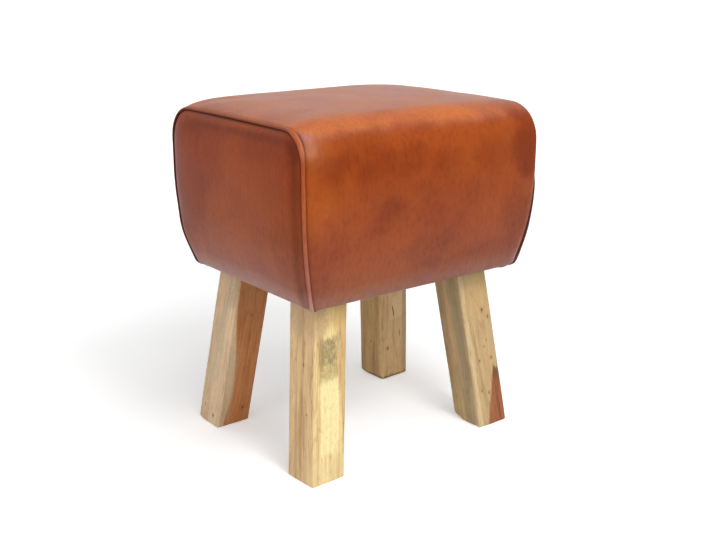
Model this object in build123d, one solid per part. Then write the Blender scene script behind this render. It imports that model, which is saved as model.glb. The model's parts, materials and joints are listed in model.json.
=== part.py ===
from build123d import *
import math
import os

# A low leather stool: a padded box seat, sewn from a wrap and two end panels, on four splayed wooden legs.
# The floor is z = 0, the origin lies under the middle of the seat and X runs along the seat's length.
# Front is -Y and left is -X. All lengths are in millimetres.

# Form of the seat body
total_height = 450.0
leg_height = 224.0  # floor to the underside of the seat
seam_length = 364.6  # between the two end seams at their widest
seam_depth = 297.0  # across an end seam at its widest
end_lean = 20.5  # how far each end draws in at the underside
side_lean = 15.1  # the same for the front and the back
belly_share = 0.6  # share of the seam's height above which the sides stand upright
corner_radius = 46.0  # rounded upper long edges
top_crown = 10.4  # rise of the top from the end seams to the middle
side_crown = 4.5  # swell of the front and the back between the end seams
end_crown = 9.0  # swell of an end panel inside its seam
least_end_crown = 0.4  # what is left of it along the top seam and the underside
seam_top_sag = 1.0  # bow of the top across the depth, at the end seams
middle_top_sag = 3.0  # the same in the middle
crown_power = 8
end_crown_power = 6
end_flat_share = 0.62  # share of an end panel's depth that is flat across
overrun = 20.0  # how far cutting shapes run past what they cut

# Leather, piping and cloth
leather_thickness = 1.8
turn_under = 14.0  # leather folded under the base board
skin_clearance = 0.3  # between curved faces that lie on each other
bead_radius = 3.3
piping_bore_radius = 2.2
piping_cord_radius = 2.0
cover_cloth_thickness = 0.8
cover_cloth_overlap = 7.0  # dust cover laid over the turned-under leather
cover_leg_clearance = 1.0

# Wooden box frame
base_board_thickness = 18.0
seat_board_thickness = 15.0
rail_thickness = 15.0
rail_setback = 6.0  # from the base board's edge
rib_thickness = 15.0
seat_foam_thickness = 38.0  # over the middle of the seat board
block_side = 34.0
block_height = 80.0

# Legs
leg_width = 50.0  # along X
leg_depth = 50.0  # along Y
leg_ease = 2.5  # rounded arrises
foot_spread_x = 286.6  # between the feet's middles
foot_spread_y = 220.2
leg_top_spread_x = 232.4  # between the legs' tops
leg_top_spread_y = 163.2

# Coach screws that hold the legs, and their washers
coach_radius = 4.0
coach_length = 70.0
coach_tip = 8.0
coach_head_flats = 13.0
coach_head_height = 5.3
washer_radius = 8.0
washer_thickness = 1.6
coach_spacing_share = 0.19  # of the leg's width, each way from the middle of the leg's top
screw_clearance = 0.1

# Wood screws of the frame
wood_screw_radius = 2.0
wood_screw_length = 42.0
wood_screw_tip = 5.0
wood_screw_head_radius = 4.0
wood_screw_head_height = 2.6
rail_screw_height_shares = (0.18, 0.5, 0.82)  # of the rail's height
long_rail_screw_shares = (-0.78, -0.26, 0.26, 0.78)  # of the rail's half length
end_rail_screw_shares = (-0.55, 0.55)
rib_screw_shares = (-0.5, 0.5)

# Staples
staple_width = 10.0
staple_leg_length = 7.0
staple_wire = 0.6
staple_edge_distance = 9.0  # of the leather's staples, from the edge of the seat's underside
cover_staple_edge_distance = 3.5  # of the dust cover's staples, from its own edge
leather_staples_long = 8
leather_staples_end = 6
cover_staples_long = 7
cover_staples_end = 5
staple_run_share = 0.8  # of the length between the outermost staples, to the side's length

# Places that follow from these sizes
half_seam_length = seam_length / 2
half_seam_depth = seam_depth / 2
seam_top = total_height - top_crown
belly_height = leg_height + belly_share * (seam_top - leg_height)
base_half_length = half_seam_length - end_lean
base_half_depth = half_seam_depth - side_lean
lining = leather_thickness + skin_clearance
board_half_length = base_half_length - lining
board_half_depth = base_half_depth - lining
board_bottom = leg_height + leather_thickness
board_top = board_bottom + base_board_thickness
rail_outer_x = board_half_length - rail_setback
rail_outer_y = board_half_depth - rail_setback
rail_inner_x = rail_outer_x - rail_thickness
rail_inner_y = rail_outer_y - rail_thickness
seat_board_top = total_height - leather_thickness - seat_foam_thickness
rail_top = seat_board_top - seat_board_thickness
cover_half_length = base_half_length - turn_under + cover_cloth_overlap
cover_half_depth = base_half_depth - turn_under + cover_cloth_overlap


# How far a side stands in from its widest place at height z: an arc that ends upright at the belly
def lean_at(z, lean):
    drop = belly_height - leg_height
    radius = (drop**2 + lean**2) / (2 * lean)
    below = max(belly_height - z, 0)
    return radius - math.sqrt(radius**2 - below**2)


# The rounded upper corner of a cross-section, tangent to its side and to its bowed top
def top_corner(half, apex, sag, radius):
    flat = half - radius
    top_radius = (flat**2 + sag**2) / (2 * sag)
    centre_z = apex - top_radius + math.sqrt((top_radius - radius) ** 2 - flat**2)
    tilt = math.asin(flat / (top_radius - radius))
    return flat, centre_z, tilt


def mirrored(points):
    return [(-x, y) for x, y in reversed(points)]


# Cross-section of the wrap at x, drawn in by inset
def wrap_section(x, inset):
    fullness = 1 - abs(x / half_seam_length) ** crown_power
    half = half_seam_depth + side_crown * fullness - inset
    apex = total_height - top_crown * (1 - fullness) - inset
    sag = seam_top_sag + (middle_top_sag - seam_top_sag) * max(fullness, 0)
    radius = corner_radius - inset
    flat, corner_z, tilt = top_corner(half, apex, sag, radius)
    half_turn = (math.pi / 2 + tilt) / 2
    foot = (base_half_depth - inset, leg_height + inset)
    belly = (half, belly_height)
    shoulder = (half, corner_z)
    middle = (flat + radius * math.sin(half_turn), corner_z + radius * math.cos(half_turn))
    top = (flat + radius * math.sin(tilt), corner_z + radius * math.cos(tilt))
    right_side = [foot, belly, shoulder, middle, top]
    left_top, left_middle, left_shoulder, left_belly, left_foot = mirrored(right_side)
    edges = [
        Line(left_foot, foot),
        TangentArc(belly, foot, tangent=(0, -1)),
        Line(belly, shoulder),
        ThreePointArc(shoulder, middle, top),
        ThreePointArc(top, (0, apex), left_top),
        ThreePointArc(left_top, left_middle, left_shoulder),
        Line(left_shoulder, left_belly),
        TangentArc(left_belly, left_foot, tangent=(0, -1)),
    ]
    return Plane(origin=(x, 0, 0), x_dir=(0, 1, 0), z_dir=(1, 0, 0)) * make_face(edges)


# The seat body as its front, top and back bound it
def wrap_form(inset):
    shares = (0.3, 0.6, 0.8, 0.92, 1.0, 1.07)
    stations = [-share for share in reversed(shares)] + [0] + list(shares)
    return loft([wrap_section(share * half_seam_length, inset) for share in stations])


seam_flat, seam_corner_z, seam_tilt = top_corner(half_seam_depth, seam_top, seam_top_sag, corner_radius)
seam_corner_top = seam_corner_z + corner_radius


# Half the seam's depth at height z, round the upper corners too
def seam_half_depth(z):
    if z <= seam_corner_z:
        return half_seam_depth - lean_at(z, side_lean)
    rise = min(z - seam_corner_z, corner_radius)
    return seam_flat + math.sqrt(corner_radius**2 - rise**2)


# Plan of the seat body at height z as its two end panels bound it, drawn in by inset
def end_section(z, inset):
    height_share = (z - leg_height) / (seam_corner_top - leg_height)
    swell = (end_crown - least_end_crown) * (1 - abs(2 * height_share - 1) ** end_crown_power)
    reach = half_seam_length - lean_at(z, end_lean) - inset
    crown = reach + least_end_crown + swell
    seam = seam_half_depth(z) - inset
    flat = end_flat_share * seam
    side = half_seam_depth + side_crown + overrun
    right = [(reach, -side), (reach, -seam), (crown, -flat), (crown, flat), (reach, seam), (reach, side)]
    left = [(-x, -y) for x, y in right]
    edges = []
    for points, upward in ((right, 1), (left, -1)):
        edges.append(Line(points[0], points[1]))
        edges.append(TangentArc(points[2], points[1], tangent=(0, -upward)))
        edges.append(Line(points[2], points[3]))
        edges.append(TangentArc(points[3], points[4], tangent=(0, upward)))
        edges.append(Line(points[4], points[5]))
    edges.insert(5, Line(right[5], left[0]))
    edges.append(Line(left[5], right[0]))
    return Pos(0, 0, z) * make_face(edges)


# A box from its lowest to its highest corner
def box_between(low, high):
    size = [b - a for a, b in zip(low, high)]
    middle = [(a + b) / 2 for a, b in zip(low, high)]
    return Pos(*middle) * Box(*size)


def slab(half_x, half_y, low_z, high_z):
    return box_between((-half_x, -half_y, low_z), (half_x, half_y, high_z))


# The seat body as its two end panels bound it
def end_form(inset):
    side_shares = (0, 0.2, 0.4, 0.6, 0.8, 1.0)
    corner_turns = (30, 60, 90)
    heights = [leg_height + share * (belly_height - leg_height) for share in side_shares]
    heights += [seam_corner_z + corner_radius * math.sin(math.radians(turn)) for turn in corner_turns]
    lofted = loft([end_section(z, inset) for z in heights])
    upper_face = lofted.faces().sort_by(Axis.Z)[-1]
    return lofted + extrude(upper_face, amount=total_height + overrun - seam_corner_top)


# The line of an end seam, from below one lower corner over the top to below the other
def seam_path(end):
    x = end * half_seam_length
    foot = (end * base_half_length, base_half_depth, leg_height)
    belly = (x, half_seam_depth, belly_height)
    shoulder = (x, half_seam_depth, seam_corner_z)
    half_turn = (math.pi / 2 + seam_tilt) / 2
    middle_y = seam_flat + corner_radius * math.sin(half_turn)
    middle = (x, middle_y, seam_corner_z + corner_radius * math.cos(half_turn))
    top_y = seam_flat + corner_radius * math.sin(seam_tilt)
    top = (x, top_y, seam_corner_z + corner_radius * math.cos(seam_tilt))
    front_foot, front_belly, front_shoulder, front_middle, front_top = [
        (a, -b, c) for a, b, c in (foot, belly, shoulder, middle, top)
    ]
    front_rise = TangentArc(front_belly, front_foot, tangent=(0, 0, -1))
    back_rise = TangentArc(belly, foot, tangent=(0, 0, -1))
    return Wire(
        [
            Line(front_foot, front_rise @ 1 + front_rise % 1 * 2 * bead_radius),
            front_rise,
            Line(front_belly, front_shoulder),
            ThreePointArc(front_shoulder, front_middle, front_top),
            ThreePointArc(front_top, (x, 0, seam_top), top),
            ThreePointArc(top, middle, shoulder),
            Line(shoulder, belly),
            back_rise,
            Line(foot, back_rise @ 1 + back_rise % 1 * 2 * bead_radius),
        ]
    )


# A round rod along an end seam, cut off level with the underside
def seam_rod(end, radius):
    path = seam_path(end)
    start = Plane(origin=path @ 0, z_dir=path % 0)
    rod = sweep(start * Circle(radius), path=path)
    return rod & slab(seam_length, seam_depth, leg_height, total_height + overrun)


# Places that repeat: the four corners, and a run of places evenly spaced about the middle
corners = {
    "front_left": (-1, -1),
    "front_right": (1, -1),
    "back_left": (-1, 1),
    "back_right": (1, 1),
}


def evenly(count, half_run):
    return [half_run * (2 * i / (count - 1) - 1) for i in range(count)]


# Fasteners, each drawn head up with the underside of its head, or its flush top, at z = 0
def turned(profile):
    return revolve(Plane.XZ * make_face(Polyline(*profile, close=True)), axis=Axis.Z)


def wood_screw(clearance):
    head = wood_screw_head_radius + clearance
    shank = wood_screw_radius + clearance
    point = wood_screw_length + clearance
    shoulder = point - wood_screw_tip
    return turned([(0, 0), (head, 0), (shank, -wood_screw_head_height), (shank, -shoulder), (0, -point)])


def coach_shank(clearance):
    shank = coach_radius + clearance
    point = coach_length + clearance
    return turned([(0, 0), (shank, 0), (shank, coach_tip - point), (0, -point)])


def coach_screw():
    head = RegularPolygon(coach_head_flats / 2, 6, major_radius=False)
    return coach_shank(0) + extrude(head, amount=coach_head_height)


def washer():
    return extrude(Circle(washer_radius) - Circle(coach_radius + screw_clearance), amount=washer_thickness)


def staple(clearance):
    half = staple_width / 2 + clearance
    wire = staple_wire + clearance
    half_wire = staple_wire / 2 + clearance
    crown = box_between((-half, -half_wire, -clearance), (half, half_wire, wire))
    for side in (-1, 1):
        middle = side * (staple_width - staple_wire) / 2
        low = (middle - half_wire, -half_wire, 0)
        high = (middle + half_wire, half_wire, staple_leg_length + clearance)
        crown += box_between(low, high)
    return crown


# Where each kind of fastener sits
coach_places = []
for side_x, side_y in corners.values():
    for step in (-1, 1):
        x = side_x * (leg_top_spread_x / 2 + step * coach_spacing_share * leg_width)
        y = side_y * (leg_top_spread_y / 2 - step * coach_spacing_share * leg_depth)
        coach_places.append((x, y))

rail_middle_x = rail_outer_x - rail_thickness / 2
rail_middle_y = rail_outer_y - rail_thickness / 2
board_screw_places = [(0, share * rail_inner_y) for share in rib_screw_shares]
for side in (-1, 1):
    board_screw_places += [(share * rail_inner_x, side * rail_middle_y) for share in long_rail_screw_shares]
    board_screw_places += [(side * rail_middle_x, share * rail_inner_y) for share in end_rail_screw_shares]


def coach_row(make, lift=0):
    return [Pos(x, y, board_top + washer_thickness + lift) * make() for x, y in coach_places]


def base_board_screw_row(clearance):
    return [Pos(x, y, board_bottom) * Rot(180, 0, 0) * wood_screw(clearance) for x, y in board_screw_places]


def seat_board_screw_row(clearance):
    return [Pos(x, y, seat_board_top) * wood_screw(clearance) for x, y in board_screw_places]


def rail_screw_row(clearance):
    row = []
    for side_x, side_y in corners.values():
        for share in rail_screw_height_shares:
            z = board_top + share * (rail_top - board_top)
            place = Pos(side_x * rail_middle_x, side_y * rail_outer_y, z)
            row.append(place * Rot(-90 * side_y, 0, 0) * wood_screw(clearance))
    return row


# Staples round the four sides of the underside, a given way in from its edge
def staple_row(half_x, half_y, edge, z, long_count, end_count, clearance):
    row = []
    for side in (-1, 1):
        for x in evenly(long_count, staple_run_share * half_x):
            row.append(Pos(x, side * (half_y - edge), z) * staple(clearance))
        for y in evenly(end_count, staple_run_share * (half_y - turn_under)):
            row.append(Pos(side * (half_x - edge), y, z) * Rot(0, 0, 90) * staple(clearance))
    return row


def leather_staple_row(clearance):
    edge = staple_edge_distance
    counts = (leather_staples_long, leather_staples_end)
    return staple_row(base_half_length, base_half_depth, edge, leg_height, *counts, clearance)


def cover_staple_row(clearance):
    edge = cover_staple_edge_distance
    z = leg_height - cover_cloth_thickness
    counts = (cover_staples_long, cover_staples_end)
    return staple_row(cover_half_length, cover_half_depth, edge, z, *counts, clearance)


# Leather
def wrap_panel(outer_wrap, inner_wrap, fitted_ends, cuts):
    shell = (outer_wrap - inner_wrap) & fitted_ends
    opening_top = board_bottom + skin_clearance
    opening = slab(seam_length, base_half_depth - turn_under, leg_height - overrun, opening_top)
    return shell - opening - cuts


def end_panels(outer_wrap, outer_ends, inner_ends, cuts):
    shell = outer_wrap & (outer_ends - inner_ends)
    hem_half_depth = base_half_depth - turn_under - skin_clearance
    hems = slab(base_half_length - leather_thickness / 2, hem_half_depth, leg_height, board_bottom)
    hems -= slab(base_half_length - turn_under, seam_depth, leg_height - overrun, board_bottom + overrun)
    return shell + hems - cuts


# Padding between the leather and the box frame: one piece on top, one along each side and one at each end
def padding(core):
    far = seam_length
    top = box_between((-far, -far, seat_board_top), (far, far, total_height + overrun))
    front = box_between((-far, -far, board_top), (far, -rail_outer_y, seat_board_top))
    back = box_between((-far, rail_outer_y, board_top), (far, far, seat_board_top))
    left = box_between((-far, -rail_outer_y, board_top), (-rail_outer_x, rail_outer_y, seat_board_top))
    right = box_between((rail_outer_x, -rail_outer_y, board_top), (far, rail_outer_y, seat_board_top))
    return {
        "seat_foam": core & top,
        "front_foam": core & front,
        "back_foam": core & back,
        "end_foam_left": core & left,
        "end_foam_right": core & right,
    }


# Box frame, drilled for its screws
def box_frame(base_holes, seat_holes, rail_holes, coach_holes, staple_slots):
    base_board = slab(board_half_length, board_half_depth, board_bottom, board_top)
    seat_board = slab(rail_outer_x, rail_outer_y, rail_top, seat_board_top)
    rib = slab(rib_thickness / 2, rail_inner_y, board_top, rail_top)
    pieces = {
        "base_board": base_board - base_holes - coach_holes - staple_slots,
        "seat_board": seat_board - seat_holes,
        "centre_rib": rib - base_holes - seat_holes,
    }
    rail_cuts = base_holes + seat_holes + rail_holes
    for name, side in (("front_rail", -1), ("back_rail", 1)):
        y = side * rail_middle_y
        rail = Pos(0, y, 0) * slab(rail_outer_x, rail_thickness / 2, board_top, rail_top)
        pieces[name] = rail - rail_cuts
    for name, side in (("end_rail_left", -1), ("end_rail_right", 1)):
        x = side * rail_middle_x
        rail = Pos(x, 0, 0) * slab(rail_thickness / 2, rail_inner_y, board_top, rail_top)
        pieces[name] = rail - rail_cuts
    for name, (side_x, side_y) in corners.items():
        x = side_x * rail_inner_x
        y = side_y * rail_inner_y
        outline = Polyline((x, y), (x - side_x * block_side, y), (x, y - side_y * block_side), close=True)
        block = extrude(make_face(outline), amount=block_height, dir=(0, 0, 1))
        pieces["corner_block_" + name] = Pos(0, 0, board_top) * block
    return pieces


# A square leg, leaning out to its foot, with its arrises eased; margin makes it larger for cutting
def leg(side_x, side_y, margin=0):
    foot = (side_x * foot_spread_x / 2, side_y * foot_spread_y / 2)
    lean_x = side_x * (leg_top_spread_x - foot_spread_x) / 2
    lean_y = side_y * (leg_top_spread_y - foot_spread_y) / 2
    sides = (leg_width + 2 * margin, leg_depth + 2 * margin)
    section = Pos(*foot, 0) * RectangleRounded(*sides, leg_ease + margin)
    return Part() + Solid.extrude(section.faces()[0], Vector(lean_x, lean_y, board_bottom))


def dust_cover(slots):
    cloth = slab(cover_half_length, cover_half_depth, leg_height - cover_cloth_thickness, leg_height)
    for side_x, side_y in corners.values():
        cloth -= leg(side_x, side_y, cover_leg_clearance)
    return cloth - slots


def build_pieces():
    inner_wrap = wrap_form(leather_thickness)
    inner_ends = end_form(leather_thickness)
    outer_wrap = wrap_form(0)
    outer_ends = end_form(0)
    fitted_ends = end_form(lining)
    coves = seam_rod(-1, bead_radius + skin_clearance) + seam_rod(1, bead_radius + skin_clearance)
    leather_slots = Part() + leather_staple_row(screw_clearance)
    cover_slots = Part() + cover_staple_row(screw_clearance)
    staple_slots = leather_slots + cover_slots
    base_holes = Part() + base_board_screw_row(screw_clearance)
    seat_holes = Part() + seat_board_screw_row(screw_clearance)
    rail_holes = Part() + rail_screw_row(screw_clearance)
    coach_holes = Part() + coach_row(lambda: coach_shank(screw_clearance))

    pieces = {"wrap_panel": wrap_panel(outer_wrap, inner_wrap, fitted_ends, coves + staple_slots)}
    panels = end_panels(outer_wrap, outer_ends, inner_ends, coves + staple_slots).solids().sort_by(Axis.X)
    core = (wrap_form(lining) & fitted_ends) - coves
    for name, end, panel in (("left", -1, panels[0]), ("right", 1, panels[-1])):
        pieces["end_panel_" + name] = panel
        pieces["piping_cover_" + name] = seam_rod(end, bead_radius) - seam_rod(end, piping_bore_radius)
        pieces["piping_cord_" + name] = seam_rod(end, piping_cord_radius)
    pieces.update(padding(core))
    pieces.update(box_frame(base_holes, seat_holes, rail_holes, coach_holes, staple_slots))
    for name, (side_x, side_y) in corners.items():
        pieces["leg_" + name] = leg(side_x, side_y) - coach_holes
    pieces["dust_cover"] = dust_cover(cover_slots)
    pieces["leg_screws"] = coach_row(coach_screw)
    pieces["leg_screw_washers"] = coach_row(washer, -washer_thickness)
    pieces["base_board_screws"] = base_board_screw_row(0)
    pieces["seat_board_screws"] = seat_board_screw_row(0)
    pieces["rail_screws"] = rail_screw_row(0)
    pieces["leather_staples"] = leather_staple_row(0)
    pieces["dust_cover_staples"] = cover_staple_row(0)
    return pieces


os.makedirs("parts", exist_ok=True)
for name, piece in build_pieces().items():
    if isinstance(piece, list):
        piece = Compound(children=[Compound(solid.solids()) for solid in piece])
    export_step(piece, "parts/" + name + ".step")
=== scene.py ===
import bpy
import json
import math
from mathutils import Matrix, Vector, noise


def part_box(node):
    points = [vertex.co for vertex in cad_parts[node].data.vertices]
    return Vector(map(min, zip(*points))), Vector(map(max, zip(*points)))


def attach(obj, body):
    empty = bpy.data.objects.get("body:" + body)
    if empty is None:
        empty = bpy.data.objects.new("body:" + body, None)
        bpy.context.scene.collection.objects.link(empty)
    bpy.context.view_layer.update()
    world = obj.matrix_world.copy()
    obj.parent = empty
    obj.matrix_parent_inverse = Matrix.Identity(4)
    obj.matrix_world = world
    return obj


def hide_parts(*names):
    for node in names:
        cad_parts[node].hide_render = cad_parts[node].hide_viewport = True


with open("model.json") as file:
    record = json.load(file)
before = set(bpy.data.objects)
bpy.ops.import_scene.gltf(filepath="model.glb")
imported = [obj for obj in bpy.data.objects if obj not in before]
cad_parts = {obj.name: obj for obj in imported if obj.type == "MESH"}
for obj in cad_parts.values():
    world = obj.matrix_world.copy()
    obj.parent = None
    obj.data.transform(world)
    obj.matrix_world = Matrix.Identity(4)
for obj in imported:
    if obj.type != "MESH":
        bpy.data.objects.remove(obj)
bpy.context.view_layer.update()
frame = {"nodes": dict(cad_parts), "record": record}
sceneRoot = bpy.context.scene
print("frame loaded")


# small helpers

def deselectAll():
    if bpy.context.object and bpy.context.object.mode != "OBJECT":
        bpy.ops.object.mode_set(mode="OBJECT")
    bpy.ops.object.select_all(action="DESELECT")


def pickOnly(piece):
    deselectAll()
    piece.select_set(True)
    bpy.context.view_layer.objects.active = piece


def namedResult(name):
    piece = bpy.context.object
    piece.name = name
    piece.data.name = name
    return piece


def applyModifier(piece, kind, **settings):
    pickOnly(piece)
    modifier = piece.modifiers.new(kind.lower(), kind)
    for key, value in settings.items():
        setattr(modifier, key, value)
    bpy.ops.object.modifier_apply(modifier=modifier.name)


def smoothFaces(piece, angle=None):
    pickOnly(piece)
    if angle is None:
        bpy.ops.object.shade_smooth()
    else:
        bpy.ops.object.shade_smooth_by_angle(angle=math.radians(angle))


# does some work on all of a piece's mesh in edit mode
def editAll(piece, work):
    pickOnly(piece)
    bpy.ops.object.mode_set(mode="EDIT")
    bpy.ops.mesh.select_all(action="SELECT")
    work()
    bpy.ops.object.mode_set(mode="OBJECT")


def facesOutwards(piece):
    editAll(piece, lambda: bpy.ops.mesh.normals_make_consistent(inside=False))


def mergePoints(piece):
    editAll(piece, lambda: bpy.ops.mesh.remove_doubles(threshold=1e-6))


def clamp(value, low, high):
    return max(low, min(high, value))


def easeIn(value, low, high):
    share = clamp((value - low) / (high - low), 0, 1)
    return share * share * (3 - 2 * share)


def bell(value, width):
    return math.exp(-((value / width) ** 2))


def ripple(place, size, seed):
    return noise.noise(Vector(place) / size + Vector((seed, -seed * 1.7, seed * 0.6)))


# a flat grid whose points are then laid where placeOf(column, row) says
def laidGrid(name, columns, rows, placeOf):
    deselectAll()
    bpy.ops.mesh.primitive_grid_add(x_subdivisions=columns - 1, y_subdivisions=rows - 1, size=1)
    piece = namedResult(name)
    for index, point in enumerate(piece.data.vertices):
        point.co = placeOf(index % columns, index // columns)
    piece.data.update()
    return piece


# joins a tube's first and last columns and fills its two ends
def closeEnds(piece):
    mergePoints(piece)
    editAll(piece, lambda: bpy.ops.mesh.fill_holes(sides=0))
    facesOutwards(piece)


# places from -1 to 1, close together towards both ends
def graded(edgeSteps, middle):
    left = [-1 + step for step in edgeSteps]
    inner = [left[-1] - left[-1] * 2 * i / middle for i in range(1, middle)]
    return left + inner + [-place for place in reversed(left)]


# the form of the seat, from the frame's own boxes

wrapLow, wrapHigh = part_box("wrap_panel")
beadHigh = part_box("piping_cover_right")[1]
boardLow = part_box("base_board")[0]
seat = {
    "floor": wrapLow[2],
    "top": wrapHigh[2],
    "beadRadius": 0.0033,
    "sideCrown": 0.0045,
    "leftTopCrown": 0.0104,
    "endCrown": 0.009,
    "endLean": 0.0205,
    "sideLean": 0.0151,
    "bellyShare": 0.6,
    "cornerRadius": 0.045,
    "seamCorner": {(-1, -1): 0.034, (-1, 1): 0.0435},  # drawn in tighter at the left seam, front and back
    "seamSag": 0.001,
    "middleSag": 0.002,
    "leftPower": 11,
    "rightPower": 5,
    "endPower": 6,
    "leather": 0.0018,
    "hem": 0.014,
    "tuck": 0.0027,  # how deep a panel's edge dives beside the bead
    "tuckWidth": 0.0036,
    "topTight": 0.4,  # how much narrower it is on top
    "footRoll": 0.0065,
    # at the right end the leather rolls over the edge, so that seam lies further in and out: (in, out)
    "seamShift": {-1: (0, 0), 1: (0.0069, 0.0044)},
    "edgeRoll": {"radius": 0.0042, "turn": 1.75, "out": 0.006, "fade": 0.02, "lowOut": -0.0003, "lowIn": 0.65},
    "rollLow": (-0.375, -0.325),  # minus the heights between which that seam comes back to the edge
    # the left seam's back edge stands out low down: (how far, height, half height), and where that starts
    "backBelly": (0.003, 0.272, 0.026),
    "behind": (0.06, 0.12),
    # by how far up the leather faces: where it counts as the top, and where a front corner begins and ends
    "onTop": (0.45, 0.98),
    "frontCorner": ((0.0, 0.6), (0.8, 1.0)),
    # points up a side, as shares of its height, then round the corner and over the top
    "climb": [0, 0.0015, 0.005, 0.0105, 0.018, 0.027, 0.038, 0.055, 0.08, 0.11],
    "cornerSteps": 13,
    "topSteps": 16,
}
seat["climb"] += [0.15 + 0.85 * i / 22 for i in range(23)]
seat["halfLength"] = beadHigh[0] - seat["beadRadius"]
seat["halfDepth"] = wrapHigh[1] - seat["sideCrown"]
seat["seamTop"] = seat["top"] - seat["leftTopCrown"]
seat["belly"] = seat["floor"] + seat["bellyShare"] * (seat["seamTop"] - seat["floor"])
seat["footHalfLength"] = seat["halfLength"] - seat["endLean"]
seat["footHalfDepth"] = seat["halfDepth"] - seat["sideLean"]


# how far a side stands in at height z: an arc up to the belly, and a small roll at the foot
def leanAt(z, lean):
    drop = seat["belly"] - seat["floor"]
    radius = (drop**2 + lean**2) / (2 * lean)
    below = clamp(seat["belly"] - z, 0, drop)
    roll = seat["footRoll"]
    sunk = clamp(seat["floor"] + roll - z, 0, roll)
    return radius - math.sqrt(radius**2 - below**2) + roll - math.sqrt(roll**2 - sunk**2)


# half the seat's length at height z
def reachAt(z):
    return seat["halfLength"] - leanAt(z, seat["endLean"])


def cornerRadius(full, end, side):
    atSeam = seat["seamCorner"].get((end, side), seat["cornerRadius"])
    return atSeam + (seat["cornerRadius"] - atSeam) * full


# half a cross-section of the seat, from a foot to the middle of the top: (y, z, outward y, outward z)
# full is 0 at an end seam and 1 in the middle, where the seat stands fuller
def halfSection(full, end, side):
    half = seat["halfDepth"] + seat["sideCrown"] * full
    apex = seat["top"] - seat["leftTopCrown"] * (1 - full)
    sag = seat["seamSag"] + (seat["middleSag"] - seat["seamSag"]) * full
    radius = cornerRadius(full, end, side)
    flat = half - radius
    bow = (flat**2 + sag**2) / (2 * sag)
    centreZ = apex - bow + math.sqrt((bow - radius) ** 2 - flat**2)
    tilt = math.asin(flat / (bow - radius))
    lean = half - seat["footHalfDepth"]
    points = []
    for share in seat["climb"]:
        z = seat["floor"] + share * (centreZ - seat["floor"])
        slope = (leanAt(z + 1e-4, lean) - leanAt(z - 1e-4, lean)) / 2e-4
        outward = Vector((1, slope)).normalized()
        points.append((half - leanAt(z, lean), z, outward.x, outward.y))
    for step in range(1, seat["cornerSteps"] + 1):
        turn = (math.pi / 2 - tilt) * step / seat["cornerSteps"]
        y = flat + radius * math.cos(turn)
        points.append((y, centreZ + radius * math.sin(turn), math.cos(turn), math.sin(turn)))
    for step in range(1, seat["topSteps"] + 1):
        turn = tilt * (1 - step / seat["topSteps"])
        out, up = math.sin(turn), math.cos(turn)
        points.append((bow * out, apex - bow * (1 - up), out, up))
    return [(side * y, z, side * outY, outZ) for y, z, outY, outZ in points]


# up the front, over the top and down the back
def seatSection(full, end):
    return halfSection(full, end, -1) + halfSection(full, end, 1)[-2::-1]


outlines = {end: seatSection(0, end) for end in (-1, 1)}
lastStep = len(outlines[1]) - 1


# the middle and radius of the end outline's corner on the side where y lies, and how far up round it z is
def cornerOf(y, end):
    side = 1 if y > 0 else -1
    radius = cornerRadius(0, end, side)
    steps = len(seat["climb"])
    return seat["halfDepth"] - radius, outlines[end][steps - 1 if side < 0 else -steps][1], radius


def cornerTop(y, z, end):
    middleZ, radius = cornerOf(y, end)[1:]
    return topness((z - middleZ) / radius)


# how full the padding stands between the two end seams, at u from -1 (left) to 1 (right)
def fullness(u):
    power = seat["leftPower"] if u < 0 else seat["rightPower"]
    return 1 - abs(u) ** power


# leather wrap: front, top and back in one piece

wrap = {
    "edgeSteps": (0, 0.0011, 0.0022, 0.0034, 0.0048, 0.0066, 0.009, 0.0125, 0.017, 0.0225),
    "middleSteps": 52,
    "hemRows": 3,
    "pinchSize": 0.0055,
    "pinch": 0.0007,
    "pinchReach": 0.011,
    "pinchBand": ((0.05, 0.4), (0.93, 0.999)),  # where pinches begin and end, by how far up the leather faces
    "sway": 0.0005,
    "crease": 0.0029,
    # the right end's rolled edge catches light low down: (from the seam, half width), and minus its heights
    "glint": (0.0065, 0.004),
    "glintLow": (-0.4, -0.33),
    "shade": (0.1, 0, 0.006),  # how dark, how far from the seam and how wide
}
wrapU = graded([step / seat["halfLength"] for step in wrap["edgeSteps"]], wrap["middleSteps"])
sections = [seatSection(fullness(u), 1 if u > 0 else -1) for u in wrapU]


# small pinches where the leather is drawn round the corners of a seam
def pinch(fromSeam, along, seed):
    near = math.exp(-fromSeam / wrap["pinchReach"]) * (1 - math.exp(-fromSeam / 0.003))
    return wrap["pinch"] * near * ripple((along, fromSeam * 0.25, 0), wrap["pinchSize"], seed)


# 1 on top of the seat, where the seam is drawn in tighter
def topness(outZ):
    return easeIn(outZ, *seat["onTop"])


# 1 where the seam rounds the front upper corner
def frontCorner(y, outZ):
    begins, ends = seat["frontCorner"]
    return easeIn(outZ, *begins) * (1 - easeIn(outZ, *ends)) * (y < 0)


# 1 low down, where the right seam comes back to the edge
def lowness(z):
    return easeIn(-z, *seat["rollLow"])


def seamIn(end, z):
    return seat["seamShift"][end][0] * (1 - seat["edgeRoll"]["lowIn"] * lowness(z))


def seamOut(end, z, y=0):
    if end > 0:
        return seat["seamShift"][1][1] + seat["edgeRoll"]["lowOut"] * lowness(z)
    most, middle, spread = seat["backBelly"]
    return most * bell(z - middle, spread) * easeIn(y, *seat["behind"])


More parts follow.
